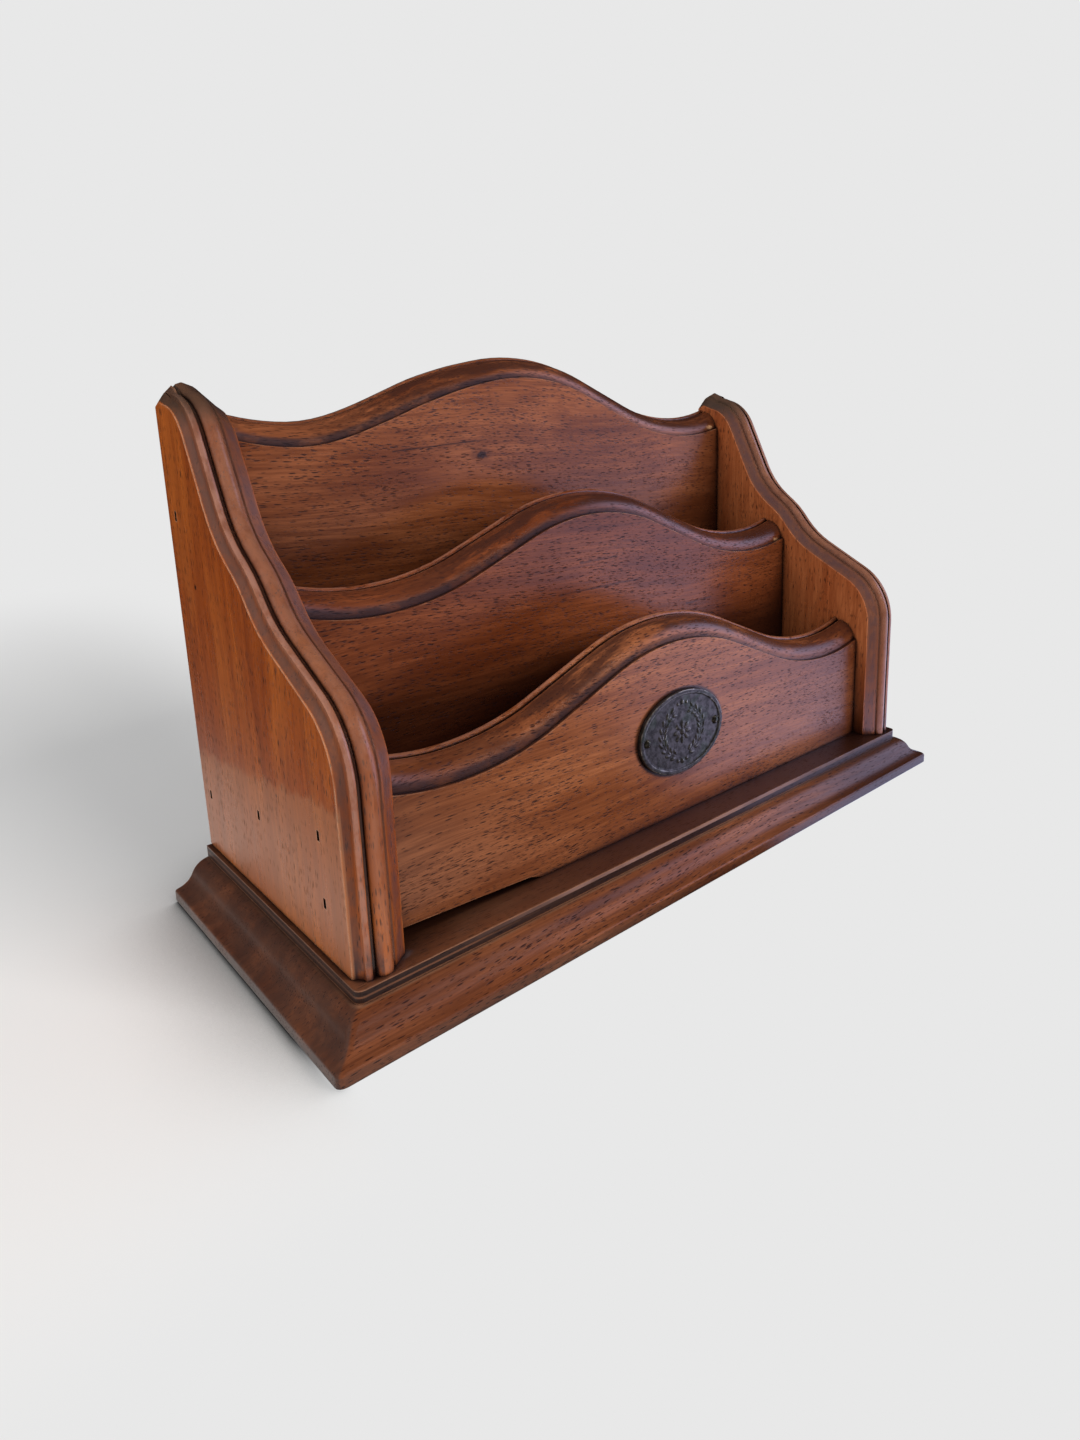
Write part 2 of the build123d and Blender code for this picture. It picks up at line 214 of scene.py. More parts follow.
soft_light("front_light", front_lamp_place, (0, 0, 0.07), 0.7, 17, (1, 0.985, 0.96))
soft_light("left_light", left_lamp_place, (-0.05, 0, 0.07), 1.2, 13, (1, 0.97, 0.93))

# Base board
# One board of dark red wood, cut square at the back. Its front and ends are
# planed to a riser, an ogee and a small nose, mitred at the front corners.
base_thickness = 15.5 * mm
platform_depth = 105.4 * mm
half_platform = 121.15 * mm
base_corner_round = 1.8 * mm
base_moulding_out = 10.3 * mm
base_riser = 3.9 * mm
base_ledge = 0.4 * mm
base_nose_round = 1.0 * mm
base_foot_round = 0.6 * mm
base_strip = 9 * mm
arris_round = 0.35 * mm
arris_angle = 32
unevenness = 0.12 * mm
planed_patch = 25 * mm
ogee_shallow_angle = 10
ogee_steep_angle = 67
back_y = (platform_depth + base_moulding_out) / 2
platform_front = back_y - platform_depth
platform_z = base_thickness


def pick_all():
    bpy.ops.mesh.select_all(action="SELECT")


def new_shape(name, place=(0, 0, 0)):
    """Start a piece in edit mode, as one point from which its section is drawn."""
    bpy.ops.mesh.primitive_plane_add(size=mm, location=(0, 0, 0))
    shape = bpy.context.object
    shape.name = name
    shape.data.name = name
    bpy.ops.object.mode_set(mode="EDIT")
    pick_all()
    bpy.ops.mesh.merge(type="CENTER")
    bpy.ops.transform.translate(value=place)
    return shape


def pull(step):
    """Extrude what is selected by a step."""
    bpy.ops.mesh.extrude_region_move(TRANSFORM_OT_translate={"value": step})


def pick(test):
    """Select only the points whose place passes the test."""
    bpy.ops.mesh.select_mode(type="VERT")
    bpy.ops.mesh.select_all(action="DESELECT")
    data = bpy.context.object.data
    mesh = bmesh.from_edit_mesh(data)
    for point in mesh.verts:
        if test(point.co):
            point.select = True
    mesh.select_flush(True)
    bmesh.update_edit_mesh(data)


def near(value, goal):
    return abs(value - goal) < 0.01 * mm


def slope_arc(angle_from, angle_to, radius, steps):
    """Steps (out, up) along an arc whose fall goes from one angle to another."""
    side = 1 if angle_to > angle_from else -1
    angles = [radians(angle_from + (angle_to - angle_from) * i / steps) for i in range(steps + 1)]
    points = [(side * radius * sin(a), side * radius * cos(a)) for a in angles]
    return [(q[0] - p[0], q[1] - p[1]) for p, q in zip(points, points[1:])]


def slices(axis, start, end, spacing):
    """Cut the whole shape into strips of about one spacing, square to an axis."""
    count = round((end - start) / spacing)
    direction = [i == axis for i in range(3)]
    for i in range(1, count):
        pick_all()
        level = start + (end - start) * i / count
        bpy.ops.mesh.bisect(plane_co=[level * d for d in direction], plane_no=direction)


def finish_with(shape, kind, **settings):
    """Add a modifier with these settings and apply it."""
    added = shape.modifiers.new(kind.lower(), kind)
    for setting, value in settings.items():
        setattr(added, setting, value)
    bpy.ops.object.modifier_apply(modifier=added.name)


def hand_made(shape):
    """Sink the surface by small, soft, uneven amounts, as hand planing leaves it."""
    clouds = bpy.data.textures.new(shape.name + "_unevenness", "CLOUDS")
    clouds.noise_scale = planed_patch
    clouds.noise_depth = 1
    settings = {"texture": clouds, "texture_coords": "LOCAL", "mid_level": 1}
    finish_with(shape, "DISPLACE", strength=unevenness, **settings)


def soften(shape):
    """Round the arrises a little."""
    settings = {"segments": 2, "limit_method": "ANGLE", "angle_limit": radians(arris_angle)}
    finish_with(shape, "BEVEL", width=arris_round, **settings)


def take_up(shape):
    """Make one piece the only one selected, and the active one."""
    bpy.ops.object.select_all(action="DESELECT")
    shape.select_set(True)
    bpy.context.view_layer.objects.active = shape


def shade(shape, angle=40):
    """Smooth shading, with sharp edges kept and large faces weighted most."""
    take_up(shape)
    bpy.ops.object.shade_smooth_by_angle(angle=radians(angle))
    finish_with(shape, "WEIGHTED_NORMAL", keep_sharp=True)


def close_shape():
    """Merge doubles, turn the faces outwards and leave edit mode."""
    pick_all()
    bpy.ops.mesh.remove_doubles(threshold=0.002 * mm)
    bpy.ops.mesh.normals_make_consistent(inside=False)
    bpy.ops.object.mode_set(mode="OBJECT")


def cut_away(shape, centre, size, round_tool=False):
    """Cut a box, or a hole along Z, out of a shape."""
    if round_tool:
        bpy.ops.mesh.primitive_cylinder_add(vertices=32, radius=0.5, depth=1, location=(0, 0, 0))
    else:
        bpy.ops.mesh.primitive_cube_add(size=1, location=(0, 0, 0))
    tool = bpy.context.object
    bpy.ops.object.mode_set(mode="EDIT")
    pick_all()
    bpy.ops.transform.resize(value=size, center_override=(0, 0, 0))
    bpy.ops.transform.translate(value=centre)
    bpy.ops.object.mode_set(mode="OBJECT")
    bpy.context.view_layer.objects.active = shape
    finish_with(shape, "BOOLEAN", operation="DIFFERENCE", solver="EXACT", object=tool)
    bpy.data.objects.remove(tool)


def paint(red, green, blue):
    """Shader colour for a colour given from 0 to 255."""
    return [((c / 255 + 0.055) / 1.055) ** 2.4 for c in (red, green, blue)] + [1]


def mottle(material, place, size, detail=2.0, roughness=0.5):
    """Noise whose patches have about this size in millimetres along each axis."""
    scaled = vector(material, "MULTIPLY", place, [1 / (s * mm) for s in size])
    inputs = {"Vector": scaled, "Scale": 1, "Detail": detail, "Roughness": roughness}
    return node(material, "TexNoise", inputs).outputs["Fac"]


def overlay(material, amount, under, over):
    """Lay one colour over another."""
    return node(material, "Mix", {0: amount, 6: under, 7: over}, data_type="RGBA").outputs[2]


def lay_tone(material, colour, tone, *shares):
    """Lay a tone from 0 to 255 over a colour, by the product of some shares."""
    return overlay(material, times(material, *shares), colour, paint(*tone))


def pore_dashes(material, place, size, share):
    """Short dashes, one in each chosen cell of about this size in millimetres."""
    scaled = vector(material, "MULTIPLY", place, [1 / (s * mm) for s in size])
    cells = node(material, "TexVoronoi", {"Vector": scaled, "Scale": 1, "Randomness": 1}).outputs
    dash = ramp(material, cells["Distance"], 0.36, 0.16)
    lot = node(material, "SeparateColor", {0: cells["Color"]}).outputs[0]
    chosen = number(material, "LESS_THAN", lot, share)
    return times(material, dash, chosen)


def between(material, value, low, high, soft=0.15 * mm):
    """1 while value lies between two sizes, with soft ends."""
    start = ramp(material, value, low - soft, low + soft)
    return times(material, start, ramp(material, value, high + soft, high - soft))


def spot(material, place, centre, size):
    """1 in an uneven oval round a point, of this size in millimetres."""
    offset = vector(material, "SUBTRACT", place, centre)
    scaled = vector(material, "MULTIPLY", offset, [2 / (s * mm) for s in size])
    distance = vector(material, "LENGTH", scaled)
    uneven = mottle(material, place, [s / 3 for s in size], 2)
    return ramp(material, number(material, "MULTIPLY_ADD", uneven, 0.9, distance), 1.6, 1.05)


def streak(material, place, start, end, width):
    """1 along a thin line from start to end."""
    start, end = Vector(start), Vector(end)
    offset = vector(material, "SUBTRACT", place, start)
    length_wise = (end - start) / (end - start).length_squared
    share = vector(material, "DOT_PRODUCT", offset, length_wise)
    share = node(material, "Clamp", {0: share}).outputs[0]
    reached = node(material, "VectorMath", {0: end - start, 3: share}, operation="SCALE").outputs[0]
    aside = vector(material, "DISTANCE", offset, reached)
    uneven = mottle(material, place, (4, 1, 1), 2)
    reach = number(material, "MULTIPLY_ADD", uneven, width, aside)
    return ramp(material, reach, 1.3 * width, 0.6 * width)


def ordered_along(material, place, along, shift):
    """Place with the fibre direction put first, moved so that no two pieces match."""
    x, y, z = parts(material, place)
    order = {"X": (x, y, z), "Z": (z, y, x)}[along]
    turned = node(material, "CombineXYZ", dict(enumerate(order))).outputs[0]
    return vector(material, "ADD", turned, (shift, shift / 3, shift / 7))


def show(material, colour, roughness, height, strength, depth, more):
    """Give a material its colour, roughness, fine relief and further qualities."""
    bump = {"Height": height, "Strength": strength, "Distance": depth}
    relief = node(material, "Bump", bump).outputs[0]
    inputs = {"Base Color": colour, "Roughness": roughness, "Normal": relief, **more}
    surface = node(material, "BsdfPrincipled", inputs).outputs[0]
    node(material, "OutputMaterial", {"Surface": surface})


def edge_turn(wood, radius):
    """1 on flat wood, and less where an edge lies within a radius."""
    rounded = node(wood, "Bevel", {"Radius": radius}, samples=4).outputs[0]
    flat = node(wood, "NewGeometry").outputs["True Normal"]
    return vector(wood, "DOT_PRODUCT", rounded, flat)


def polished_wood(name, along, tones, pores, shift, marks, most_rubbed=0.7):
    """Old polished wood: figure and pores along the fibres, darker hollows, painted shade deep in
    corners, rubbed arrises.
    """
    wood = emptied(bpy.data.materials.new(name))
    place = node(wood, "TexCoord").outputs["Object"]
    grain = ordered_along(wood, place, along, shift)
    wander = mottle(wood, grain, (90, 30, 30), 1)
    sideways = times(wood, wander, 9 * mm)
    bent = node(wood, "CombineXYZ", {1: sideways, 2: sideways}).outputs[0]
    grain = vector(wood, "ADD", grain, bent)

    dark, middle, light = [paint(*tone) for tone in tones]
    figure = ramp(wood, mottle(wood, grain, (90, 3.5, 3.5), 5, 0.65), 0.34, 0.6, 0.45, 1)
    patches = ramp(wood, mottle(wood, grain, (60, 16, 16), 3), 0.38, 0.64)
    colour = overlay(wood, figure, dark, middle)
    colour = overlay(wood, times(wood, patches, 0.75), colour, light)
    bands = mottle(wood, grain, (60, 2.2, 2.2), 3, 0.6)
    colour = overlay(wood, ramp(wood, bands, 0.34, 0.6, 0.45, 0), colour, dark)
    fibres = mottle(wood, grain, (14, 0.45, 0.45), 2, 0.6)
    colour = overlay(wood, ramp(wood, fibres, 0.3, 0.7, 0.5, 0), colour, dark)
    crowd = ramp(wood, mottle(wood, grain, (34, 12, 12), 2), 0.34, 0.58, 0.3, 1)
    share = times(wood, crowd, pores)
    dashes = pore_dashes(wood, grain, (4.2, 0.7, 0.7), share)
    small_dashes = pore_dashes(wood, grain, (2.6, 0.45, 0.45), share)
    pits = number(wood, "MAXIMUM", dashes, times(wood, small_dashes, 0.8))
    colour = lay_tone(wood, colour, (36, 14, 9), pits, 0.88)
    colour, dull = marks(wood, place, colour)

    # Hollows within a few millimetres are darkened, with an uneven edge.
    hollow = openness(wood, 3.2 * mm)
    uneven_edge = mottle(wood, grain, (14, 2.5, 2.5), 3, 0.6)
    depth = number(wood, "ADD", hollow, number(wood, "MULTIPLY_ADD", uneven_edge, 0.2, -0.1))
    hollow_darkening = ramp(wood, depth, 0.8, 0.44, 0, 0.94)
    colour = lay_tone(wood, colour, (26, 17, 17), hollow_darkening)
    # Deep in the slots and in corners between the parts the colour turns nearly black: painted
    # shade.
    corner = ramp(wood, openness(wood, 36 * mm), 0.68, 0.3, 0, 0.9)
    colour = lay_tone(wood, colour, (24, 8, 5), corner)
    arris = ramp(wood, edge_turn(wood, 0.7 * mm), 0.955, 0.86)
    rubbed = times(wood, arris, ramp(wood, hollow, 0.7, 0.88))
    rub_spots = mottle(wood, place, (9, 9, 9), 3, 0.65)
    rub_spots = ramp(wood, rub_spots, 0.4, 0.62, most_rubbed / 7, most_rubbed)
    colour = lay_tone(wood, colour, (182, 130, 100), rubbed, rub_spots)

    smears = mottle(wood, grain, (30, 9, 9), 3, 0.6)
    roughness = ramp(wood, smears, 0.3, 0.7, 0.265, 0.3)
    roughness = number(wood, "ADD", roughness, times(wood, pits, 0.3))
    roughness = number(wood, "ADD", roughness, times(wood, dull, 0.2))
    height = number(wood, "MULTIPLY_ADD", pits, -1, times(wood, fibres, 0.25))
    polish = {"IOR": 1.5, "Coat Weight": 0.12, "Coat Roughness": 0.2}
    show(wood, colour, roughness, height, 0.35, 0.12 * mm, polish)
    return wood


def on_mitre(point):
    """Whether a point of the base lies on one of its front mitres."""
    out = platform_front - point.y
    return out > -0.01 * mm and near(abs(point.x) - half_platform, out)


ogee_steps = slope_arc(ogee_shallow_angle, ogee_steep_angle, 1, 10)
ogee_steps += slope_arc(ogee_steep_angle, ogee_shallow_angle, 1, 10)
nose_steps = slope_arc(ogee_shallow_angle, 90, base_nose_round, 8)
ogee_run = base_moulding_out - base_ledge - sum(step[0] for step in nose_steps)
ogee_radius = ogee_run / sum(step[0] for step in ogee_steps)
base_profile = [(0, base_thickness), (0, base_thickness - base_riser)]
base_profile.append((base_ledge, base_thickness - base_riser))
for step in [(out * ogee_radius, up * ogee_radius) for out, up in ogee_steps] + nose_steps:
    last = base_profile[-1]
    base_profile.append((last[0] + step[0], last[1] + step[1]))
base_profile.append((base_moulding_out, base_foot_round))
base_profile.append((base_moulding_out - base_foot_round, 0))

base = new_shape("moulded_base")
out, level = base_profile[-1]
half_width, depth = half_platform + out, platform_depth + out
bpy.ops.transform.translate(value=(-half_width, back_y - depth, level))
pull((2 * half_width, 0, 0))
pick_all()
pull((0, depth, 0))
pick_all()
for next_out, next_level in reversed(base_profile[:-1]):
    pull((0, 0, next_level - level))
    wider = (half_platform + next_out) / (half_platform + out)
    deeper = (platform_depth + next_out) / (platform_depth + out)
    bpy.ops.transform.resize(value=(wider, deeper, 1), center_override=(0, back_y, 0))
    out, level = next_out, next_level
slices(0, -half_platform, half_platform, base_strip)
slices(1, platform_front, back_y, base_strip)
pick(on_mitre)
bpy.ops.mesh.bevel(offset=base_corner_round, segments=4)
close_shape()
hand_made(base)
soften(base)
base_tones = ((74, 37, 21), (126, 69, 40), (154, 92, 58))


def base_marks(wood, place, colour):
    """A riser painted dark as its shade and left dull, with a painted sheen along its top, a dark
    left end and a dull dark platform.
    """
    x, y, z = parts(wood, place)
    patches = ramp(wood, mottle(wood, place, (14, 14, 5), 3, 0.6), 0.3, 0.6, 0.6, 1)
    riser_foot = platform_z - base_riser
    riser = between(wood, z, riser_foot + 0.35 * mm, platform_z - 0.45 * mm)
    line = between(wood, z, platform_z - 2.3 * mm, platform_z - 1.8 * mm, 0.2 * mm)
    line = times(wood, line, ramp(wood, x, -60 * mm, -100 * mm))
    # A lavender band high on the riser, stronger to the right: a painted sheen.
    painted_sheen = between(wood, z, platform_z - 1.5 * mm, platform_z - 0.35 * mm, 0.1 * mm)
    painted_sheen = times(wood, painted_sheen, ramp(wood, x, -100 * mm, -40 * mm, 0, 0.75))
    arris = between(wood, z, platform_z - 0.4 * mm, platform_z - 0.06 * mm, 0.06 * mm)
    low_arris = between(wood, z, riser_foot - 0.15 * mm, riser_foot + 0.3 * mm, 0.1 * mm)
    arris = number(wood, "MAXIMUM", arris, low_arris)
    out_left = number(wood, "SUBTRACT", -half_platform, x)
    out_front = number(wood, "MAXIMUM", number(wood, "SUBTRACT", platform_front, y), 0)
    end = ramp(wood, number(wood, "SUBTRACT", out_left, out_front), -0.6 * mm, 0.6 * mm)
    top = ramp(wood, z, platform_z - 0.3 * mm, platform_z - 0.1 * mm)
    # A pale greyish patch on the platform.
    pale_patch = spot(wood, place, (-106.6 * mm, -41.5 * mm, platform_z), (7, 3.4, 4))
    for tone, *shares in (
        # The riser's dark tone is painted shade.
        ((24, 15, 15), riser, 0.88),
        ((132, 84, 58), line, patches, 0.8),
        ((168, 128, 118), painted_sheen, patches),
        ((164, 118, 90), arris, patches, 0.65),
        ((66, 48, 42), end, patches, 0.75),
        ((54, 24, 13), top, ramp(wood, x, -100 * mm, -20 * mm, 0.4, 0.85)),
        ((43, 22, 16), ramp(wood, x, 0, 100 * mm, 0, 0.78)),
        ((120, 112, 118), pale_patch, 0.5),
    ):
        colour = lay_tone(wood, colour, tone, *shares)
    return colour, ramp(wood, riser, 0, 1, 0.5, 1)


base.data.materials.append(polished_wood("base_wood", "X", base_tones, 0.7, 1.3, base_marks, 0.4))
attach(base, "root")
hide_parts("base_board")

# Side panels
# Two panels with an S-shaped front edge. The edge is worked, from the outer face
# inwards, with a cove, a ridge, a quirk, a bead, a thin quirk and a sloping strip.
# Each panel is screwed to the base from below.
panel_thickness = 14.5 * mm
half_rack = 119.75 * mm
inner_face = half_rack - panel_thickness
panel_depth = 100 * mm
ear_height = 138.3 * mm
shoulder_radius = 20.5 * mm
hollow_angle = 25
straight = "straight"
panel_line = [
    (straight, 6.4 * mm),
    (62, 16.5 * mm),
    (straight, 21.5 * mm),
    (33, 37 * mm),
    (straight, 4.5 * mm),
    (48, 30 * mm),
    (straight, 3.5 * mm),
    (hollow_angle, 39 * mm),
]
cove_width = 2.2 * mm
cove_rise = 3.1 * mm
cove_hollow = 0.75 * mm
ridge_width = 1.8 * mm
ridge_crown = 0.3 * mm
quirk_width = 0.9 * mm
quirk_level = 2.3 * mm
bead_radius = 2.4 * mm
bead_root_level = 2.4 * mm
bead_rise = 1.9 * mm
inner_quirk_width = 0.6 * mm
inner_strip_level = 2.3 * mm
inner_arris_drop = 1.0 * mm


def swelling(start, end, bulge, steps):
    """Points after start on an arc to end that swells by bulge to the left."""
    start, end = Vector(start), Vector(end)
    chord = end - start
    side = Vector((-chord.y, chord.x)).normalized()
    half_turn = 2 * atan(2 * bulge / chord.length)
    radius = chord.length / 2 / sin(half_turn)
    points = []
    for i in range(1, steps + 1):
        angle = half_turn * (2 * i / steps - 1)
        along = 0.5 + radius * sin(angle) / chord.length
        points.append(start + chord * along + side * radius * (cos(angle) - cos(half_turn)))
    return points


def draw_section(points, across, up_from):
    """Extrude one point through a section; across gives its direction in the piece."""
    for before, after in zip(points, points[1:]):
        step = Vector(after) - Vector(before)
        pull(Vector(across) * step.x + Vector(up_from) * step.y)


def lengthen(place, angle, length, spacing=4 * mm):
    """Extrude a section forward and down by an angle, in short steps."""
    count = max(1, round(length / spacing))
    ahead = Vector((0, -cos(radians(angle)), -sin(radians(angle))))
    for i in range(count):
        pull(ahead * length / count)
    return place + ahead * length


def bend_round(place, angle_from, angle_to, radius, degrees_each=6):
    """Spin a section round the centre of a bend in its line."""
    side = 1 if angle_to > angle_from else -1
    inward = Vector((0, sin(radians(angle_from)), -cos(radians(angle_from)))) * radius * side
    centre = place + inward
    steps = max(2, round(abs(angle_to - angle_from) / degrees_each))
    turn = radians(abs(angle_to - angle_from))
    bpy.ops.mesh.spin(steps=steps, angle=turn, center=centre, axis=(-side, 0, 0))
    outward = Vector((0, -sin(radians(angle_to)), cos(radians(angle_to)))) * radius * side
    return centre + outward


ridge_start = cove_width
ridge_end = ridge_start + ridge_width
bead_outer = ridge_end + quirk_width
bead_inner = bead_outer + 2 * bead_radius
strip_start = bead_inner + inner_quirk_width
panel_section = [(0, 0)]
panel_section += swelling((0, 0), (ridge_start, cove_rise), -cove_hollow, 6)
panel_section += swelling((ridge_start, cove_rise), (ridge_end, cove_rise), ridge_crown, 4)
bead_start, bead_end = (bead_outer, bead_root_level), (bead_inner, bead_root_level)
panel_section += [(ridge_end, quirk_level), (bead_outer, quirk_level), bead_start]
panel_section += swelling(bead_start, bead_end, bead_rise, 14)
panel_section += [(bead_inner, quirk_level), (strip_start, quirk_level)]
panel_section += [(strip_start, inner_strip_level), (panel_thickness, -inner_arris_drop)]

panel_start = Vector((half_rack, back_y, platform_z + ear_height))
panel = new_shape("side_panel_right_moulded", panel_start)
draw_section(panel_section, (-1, 0, 0), (0, 0, 1))
pick_all()
point, angle = panel_start, 0
for turn_to, size in panel_line:
    if turn_to == straight:
        point = lengthen(point, angle, size)
    else:
        point = bend_round(point, angle, turn_to, size)
        angle = turn_to
shoulder_run = shoulder_radius * (1 - sin(radians(angle)))
flat_run = panel_depth - shoulder_run - (back_y - point.y)
point = lengthen(point, angle, flat_run / cos(radians(angle)))
point = bend_round(point, angle, 90, shoulder_radius)
point = lengthen(point, 90, point.z - platform_z)
pick(lambda p: near(p.y, back_y))
pull((0, 0, -ear_height))
bpy.ops.transform.resize(value=(1, 1, 0), center_override=(0, 0, platform_z))
pick(lambda p: near(p.x, half_rack))
bpy.ops.mesh.edge_face_add()
pick(lambda p: near(p.x, inner_face))
bpy.ops.mesh.edge_face_add()
bpy.ops.mesh.select_all(action="DESELECT")
bpy.ops.mesh.select_non_manifold()
bpy.ops.mesh.edge_face_add()
ear_domes = [(0, 0), (1.6, 2.4), (3.9, 4.8), (6.6, 5.8), (9.6, 4.6), (13.2, 1.6), (14.5, -0.4)]
ear_foot = panel_start.z - 3 * mm
ear_lines = ((0, 1, 0.7 * mm), (3.2 * mm, 1, -0.7 * mm), (6.4 * mm, 0.7, 0))
for step_back, share, sunk in ear_lines:
    for out in sorted({p[0] for p in panel_section}):
        for (low_out, low_rise), (high_out, high_rise) in zip(ear_domes, ear_domes[1:]):
            if low_out <= out / mm + 0.001:
                part = (out / mm - low_out) / (high_out - low_out)
                dome = (low_rise + (high_rise - low_rise) * part) * mm
        line_x, line_y = half_rack - out, back_y - step_back
        pick(lambda p: near(p.x, line_x) and near(p.y, line_y) and p.z > ear_foot)
        levels = [p.co.z for p in bmesh.from_edit_mesh(panel.data).verts if p.select]
        if levels:
            target = panel_start.z + dome - sunk
            bpy.ops.transform.translate(value=(0, 0, (target - max(levels)) * share))
close_shape()
hand_made(panel)
soften(panel)

# Wavy boards
# Three boards of one thickness, from the tall back board to the low front one.
# Their wavy tops have a thin ridge at the back, a groove and a broad rounded
# band. A tongue at each end sits in a groove in the panel.
board_thickness = 12.5 * mm
slot_width = 28.2 * mm
board_crests = {
    "back_board": 156.4 * mm,
    "middle_board": 109 * mm,
    "front_board": 69.7 * mm,
}
wave_radius = 75 * mm
wave_angle = 24
trough_from_panel = 21.2 * mm
wave_end_radius = 66 * mm
housing_depth = 3 * mm
housing_clearance = 0.1 * mm
housing_below_moulding = 3 * mm
top_moulding_height = 7.6 * mm
top_ridge_width = 2.2 * mm
top_ridge_shoulder = 1.1 * mm
top_groove_width = 1.1 * mm
top_groove_depth = 2.0 * mm
top_band_top = 0.9 * mm
top_band_nose = 1.2 * mm
top_band_bulge = 1.7 * mm
front_ledge = 1.4 * mm
left_slope_raised = 2.7 * mm
left_slope_start = -54.5 * mm
left_slope_end = -45 * mm
left_slope_foot = 100 * mm
left_slope_reach = 32 * mm
arc_steps = 8
slope_steps = 6
foot_gap = 4.0 * mm
foot_gap_length = 72 * mm

trough_x = inner_face - trough_from_panel
wave_run = wave_radius * sin(radians(wave_angle))
wave_drop = wave_radius * (1 - cos(radians(wave_angle)))
slope_run = trough_x - 2 * wave_run
trough_level = -2 * wave_drop - slope_run * tan(radians(wave_angle))
low_end_radius = wave_end_radius + top_moulding_height
low_end_angle = asin(trough_from_panel / low_end_radius)
low_end_level = trough_level + wave_end_radius - low_end_radius * cos(low_end_angle)
tongue_top = low_end_level - housing_below_moulding


def board_section():
    """Top of a board from its back to its front: (forward, up) from the crest."""
    band_start = top_ridge_width + top_groove_width
    band_end = board_thickness - front_ledge
    band_foot = -top_moulding_height + top_band_nose
    points = [(0, -top_ridge_shoulder)]
    points += swelling(points[-1], (top_ridge_width, -top_ridge_shoulder), top_ridge_shoulder, 6)
    points += [(top_ridge_width, -top_groove_depth), (band_start, -top_groove_depth)]
    points.append((band_start, -top_band_top))
    points += swelling(points[-1], (band_end, band_foot), top_band_bulge, 8)
    return points + [(band_end, -top_moulding_height), (board_thickness, -top_moulding_height)]


def sweep_wave(start):
    """Sweep the section from the crest to past the right panel."""
    turn = radians(wave_angle)
    centre = start + Vector((0, 0, -wave_radius))
    bpy.ops.mesh.spin(steps=arc_steps, angle=turn, center=centre, axis=(0, -1, 0))
    fall = Vector((1, 0, -tan(turn))) * slope_run
    for i in range(slope_steps):
        pull(fall / slope_steps)
    end_of_slope = start + Vector((wave_run, 0, -wave_drop)) + fall
    over = Vector((sin(turn), 0, cos(turn))) * wave_radius
    bpy.ops.mesh.spin(steps=arc_steps, angle=turn, center=end_of_slope + over, axis=(0, 1, 0))
    trough = end_of_slope + Vector((wave_run, 0, -wave_drop))
    over = Vector((0, 0, wave_end_radius))
    bpy.ops.mesh.spin(steps=arc_steps, angle=turn, center=trough + over, axis=(0, 1, 0))


def facing_up(wood):
    """Upward part of the surface's direction."""
    direction = node(wood, "NewGeometry").outputs["True Normal"]
    return parts(wood, direction)[2]


def board_marks(front_y, own_marks):
    """Painted shade on the ledge under the band and in the groove, wax on the band, a painted
    highlight on the ridge top, darker towards the right panel, and marks of one board.
    """
    def marks(wood, place, colour):
        x, y, z = parts(wood, place)
        from_front = number(wood, "SUBTRACT", y, front_y)
        patches = ramp(wood, mottle(wood, place, (9, 4, 9), 3, 0.6), 0.3, 0.55, 0.55, 1)
        line_width = ramp(wood, x, -80 * mm, 60 * mm, 1.9 * mm, 1.2 * mm)
        line = times(wood, ramp(wood, from_front, 0.3 * mm, 0.6 * mm), patches)
        past_line = number(wood, "SUBTRACT", from_front, line_width)
        line = times(wood, line, ramp(wood, past_line, 0.5 * mm, -0.2 * mm))
        band = between(wood, from_front, 2 * mm, 9 * mm, 0.8 * mm)
        waxed = ramp(wood, mottle(wood, place, (22, 3, 12), 3, 0.65), 0.34, 0.54, 0.15, 0.85)
        waxed = times(wood, waxed, ramp(wood, x, -95 * mm, -45 * mm, 0.25, 1))
        groove_start = board_thickness - top_ridge_width - top_groove_width
        groove = between(wood, from_front, groove_start, groove_start + top_groove_width)
        ridge = ramp(wood, from_front, groove_start + 1.3 * mm, groove_start + 1.7 * mm)
        on_top = ramp(wood, facing_up(wood), 0.15, 0.4)
        for tone, *shares in (
            # Painted shade on the front ledge under the band.
            ((34, 24, 27), line, 0.85),
            ((62, 34, 26), band, waxed),
            # Painted shade in the groove.
            ((26, 14, 12), groove, 0.85),
            # Painted highlight where the ridge faces up.
            ((168, 116, 96), ridge, on_top, ramp(wood, patches, 0.6, 1, 0, 0.4)),
            ((60, 24, 8), ramp(wood, x, 70 * mm, 104 * mm, 0, 0.35)),
        ):
            colour = lay_tone(wood, colour, tone, *shares)
        return own_marks(wood, place, colour), line
    return marks


def pale_chip(wood, place, colour, x, y, height):
    """Pale chip in the end of a rounded band."""
    chip = spot(wood, place, (x, y, platform_z + height), (5, 10, 2.6))
    return lay_tone(wood, colour, (196, 150, 110), chip, 0.7)


